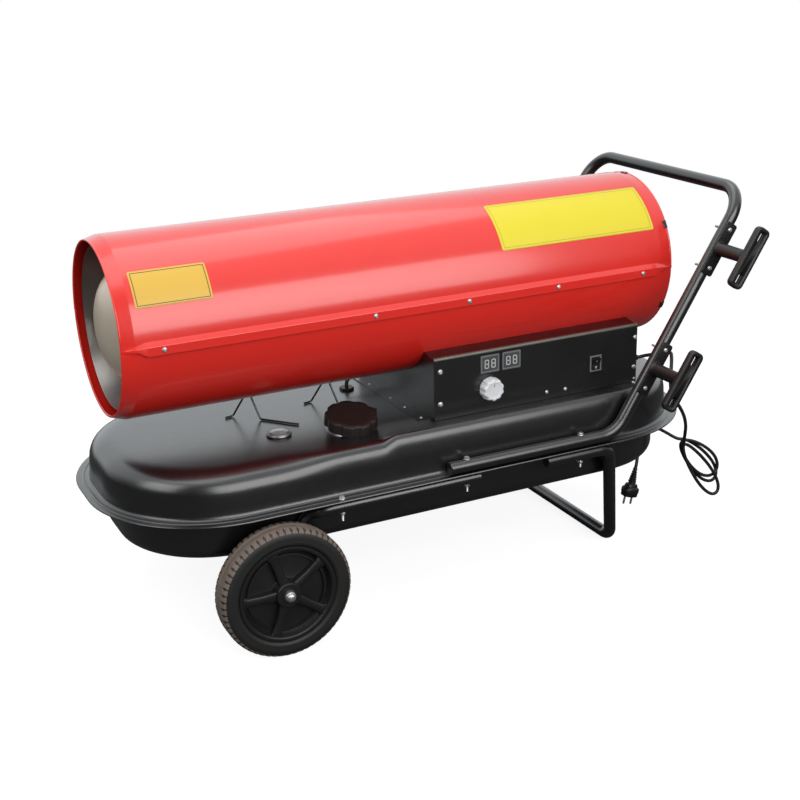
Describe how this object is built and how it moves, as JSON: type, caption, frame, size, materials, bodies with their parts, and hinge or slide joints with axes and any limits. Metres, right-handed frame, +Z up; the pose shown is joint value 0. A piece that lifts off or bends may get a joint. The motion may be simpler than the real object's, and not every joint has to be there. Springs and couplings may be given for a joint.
{
  "type": "forced air heater",
  "caption": "Mobile forced air heater: a red tubular shell over a black fuel tank on wheels, with a control box, tube handle, cord wraps and hanging cord.",
  "frame": {"origin": "middle of the footprint of everything but the cord, on the floor", "axes": "+X from the outlet to the handle, +Z up, the control panel faces -Y"},
  "size_m": [1.3644, 0.6736, 0.7511],
  "materials": {
    "red_paint": "gloss powder coat, worn a little at the rims",
    "black_paint": "semi-gloss black powder coat",
    "black_plastic": "moulded, fine grain",
    "pale_plastic": "light grey, satin",
    "window": "clear",
    "tyre": "dusty brown-black solid tyre",
    "rubber": "smooth black",
    "stainless": "heat-tinted stainless, champagne",
    "steel": "zinc plated",
    "brass": "turned",
    "cast_aluminium": "as cast",
    "board": "green solder mask"
  },
  "bodies": {
    "chassis": {"upper_shell": "red_paint", "lower_shell": "red_paint", "combustion_chamber": "stainless", "outlet_dome": "stainless", "flame_plate": "stainless", "burner_head": "steel", "fuel_nozzle": "brass", "spark_electrode": "pale_plastic", "photocell": "black_plastic", "motor": "cast_aluminium", "motor_bracket": "steel", "pump_body": "cast_aluminium", "pump_cover": "cast_aluminium", "pressure_gauge": "brass", "fan_guard": "black_paint", "tank_upper": "black_paint", "tank_lower": "black_paint", "drain_plug": "steel", "filler_neck": "black_paint", "fuel_strainer": "steel", "gauge_body": "pale_plastic", "gauge_window": "window", "fuel_pickup": "brass", "control_box": "black_paint", "control_panel": "black_paint", "set_display": "pale_plastic", "room_display": "pale_plastic", "thermostat_body": "black_plastic", "switch_frame": "black_plastic", "circuit_board": "board", "ignition_transformer": "black_plastic", "cord_gland": "black_plastic", "handle_frame": "black_paint", "rear_foot": "black_paint", "wheel_frame_near": "black_paint", "wheel_frame_far": "black_paint", "axle": "steel", "axle_nut_near": "steel", "axle_nut_far": "steel", "cord_wrap_upper": "black_plastic", "cord_wrap_lower": "black_plastic", "support_wire_front": "black_paint", "support_wire_rear": "black_paint", "cord_lead": "rubber", "cord_hank": "rubber", "cord_tail": "rubber", "plug": "black_plastic"},
    "wheel_near": {"wheel_hub_near": "black_plastic", "tyre_near": "tyre"},
    "wheel_far": {"wheel_hub_far": "black_plastic", "tyre_far": "tyre"},
    "rotor": {"motor_shaft": "steel", "fan": "cast_aluminium", "pump_rotor": "steel"},
    "knob": {"thermostat_knob": "pale_plastic"},
    "rocker": {"switch_rocker": "black_plastic"},
    "seal": {"cap_seal": "rubber"},
    "cap": {"fuel_cap": "black_plastic"},
    "float": {"gauge_float": "pale_plastic"},
    "pointer": {"gauge_pointer": "red_paint"}
  },
  "joints": [
    {"name": "wheel_near_spin", "type": "hinge", "parent": "chassis", "child": "wheel_near", "pos_m": [-0.3725, -0.24295, 0.125], "axis": [0, 1, 0], "continuous": true},
    {"name": "wheel_far_spin", "type": "hinge", "parent": "chassis", "child": "wheel_far", "pos_m": [-0.3725, 0.29505, 0.125], "axis": [0, 1, 0], "continuous": true},
    {"name": "rotor_spin", "type": "hinge", "parent": "chassis", "child": "rotor", "pos_m": [0.2615, 0.02605, 0.579], "axis": [1, 0, 0], "continuous": true},
    {"name": "knob_turn", "type": "hinge", "parent": "chassis", "child": "knob", "pos_m": [0.1085, -0.15395, 0.397], "axis": [0, -1, 0], "range_deg": [-140, 140]},
    {"name": "rocker_press", "type": "hinge", "parent": "chassis", "child": "rocker", "pos_m": [0.3535, -0.14505, 0.4065], "axis": [1, 0, 0], "range_deg": [-18, 0]},
    {"name": "cap_turn", "type": "hinge", "parent": "chassis", "child": "seal", "pos_m": [-0.1665, -0.09895, 0.35], "axis": [0, -0.225, 0.9744], "range_deg": [0, 90]},
    {"name": "cap_lift", "type": "slide", "parent": "seal", "child": "cap", "axis": [0, -0.225, 0.9744], "range_m": [0, 0.035]},
    {"name": "float_rise", "type": "slide", "parent": "chassis", "child": "float", "axis": [0, 0, 1], "range_m": [0, 0.11]},
    {"name": "pointer_turn", "type": "hinge", "parent": "chassis", "child": "pointer", "pos_m": [-0.2985, -0.06495, 0.353], "axis": [0, 0, 1], "range_deg": [-100, 0]}
  ],
  "couplings": [
    {"joint": "pointer_turn", "follows": "float_rise", "rad_per_m": -15.8}
  ]
}
